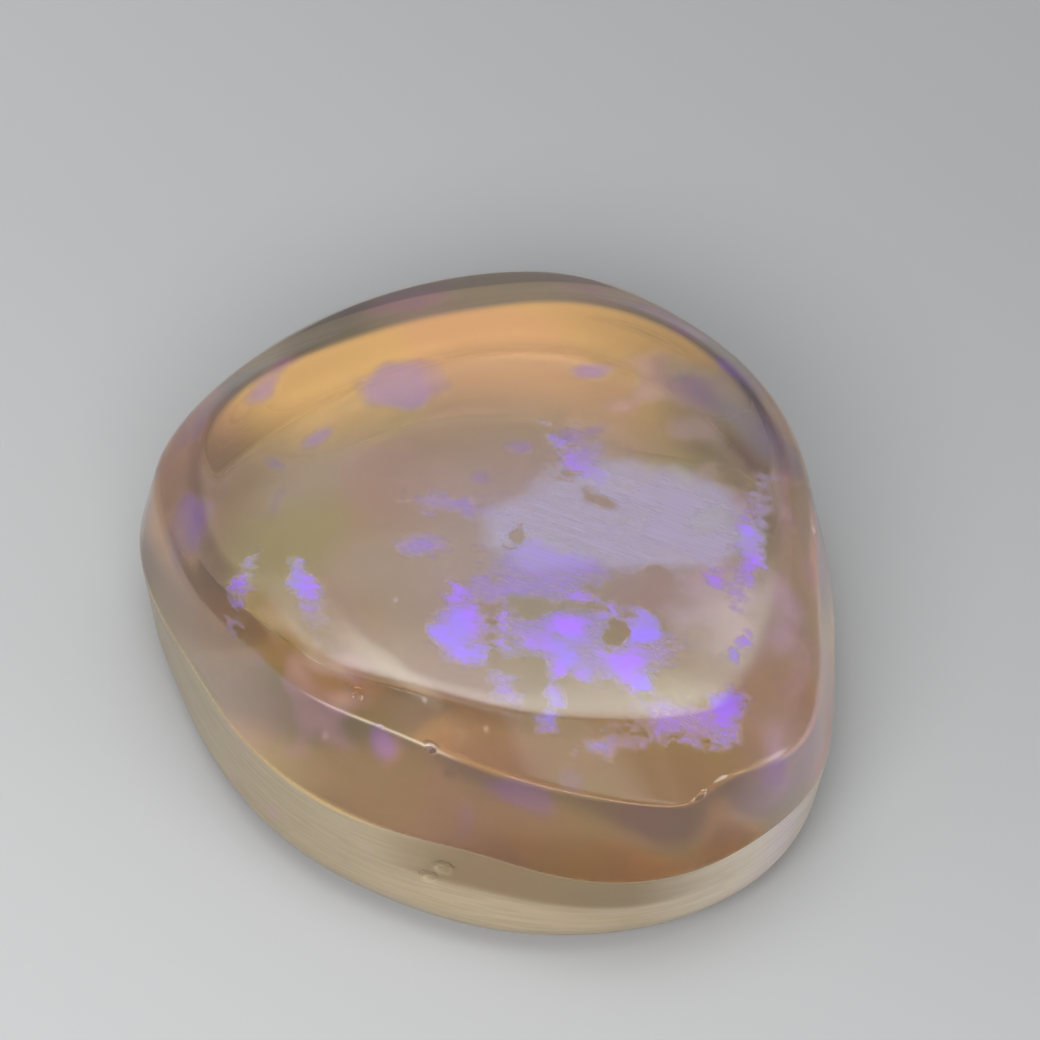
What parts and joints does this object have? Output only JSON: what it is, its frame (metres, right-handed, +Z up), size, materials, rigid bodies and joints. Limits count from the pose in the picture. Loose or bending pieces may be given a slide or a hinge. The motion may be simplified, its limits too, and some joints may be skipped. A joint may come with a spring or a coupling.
{
  "type": "crystal opal, polished free-form stone",
  "caption": "Small chunky free-form opal, polished all over, with a low domed face, a bevelled shoulder, near-upright sides and a flat base it rests on.",
  "frame": {"origin": "middle of the stone's box at the height of its flat base", "axes": "+Z up, out of the domed face; +Y towards the rounded back edge; the blunt corner points to +X and -Y"},
  "size_m": [0.0106, 0.0108, 0.0046],
  "materials": {
    "opal": "polished"
  },
  "bodies": {
    "root": {"opal_stone": "opal"}
  },
  "joints": []
}
